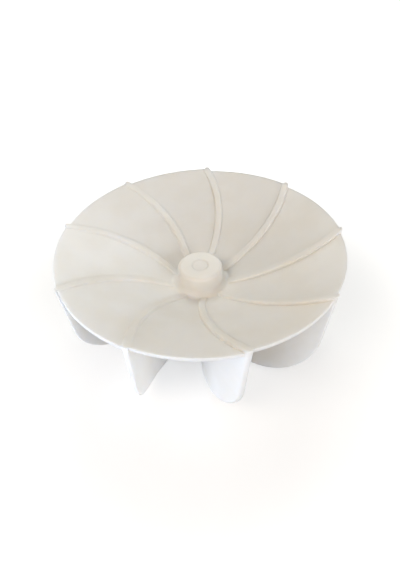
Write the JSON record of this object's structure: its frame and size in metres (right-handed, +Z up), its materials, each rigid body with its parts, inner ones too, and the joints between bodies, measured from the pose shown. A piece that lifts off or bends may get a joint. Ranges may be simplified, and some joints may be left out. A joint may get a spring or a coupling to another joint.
{
  "type": "mixed-flow fan impeller",
  "caption": "Fan impeller moulded in one piece: a shallow dish with nine curved ridges that carry on below it as deep rounded blades, and a central hub, closed on top, with a shaft bore from below.",
  "frame": {"origin": "on the shaft axis, level with the lowest edges of the blades, which is what the impeller stands on", "axes": "+Z up along the shaft axis, towards the open side of the dish and away from the mouth of the bore; +X towards the tip of one blade"},
  "size_m": [0.1489, 0.148, 0.064],
  "materials": {
    "impeller": "milky, slightly translucent natural polypropylene with a soft sheen"
  },
  "bodies": {
    "root": {"impeller": "impeller"}
  },
  "joints": []
}
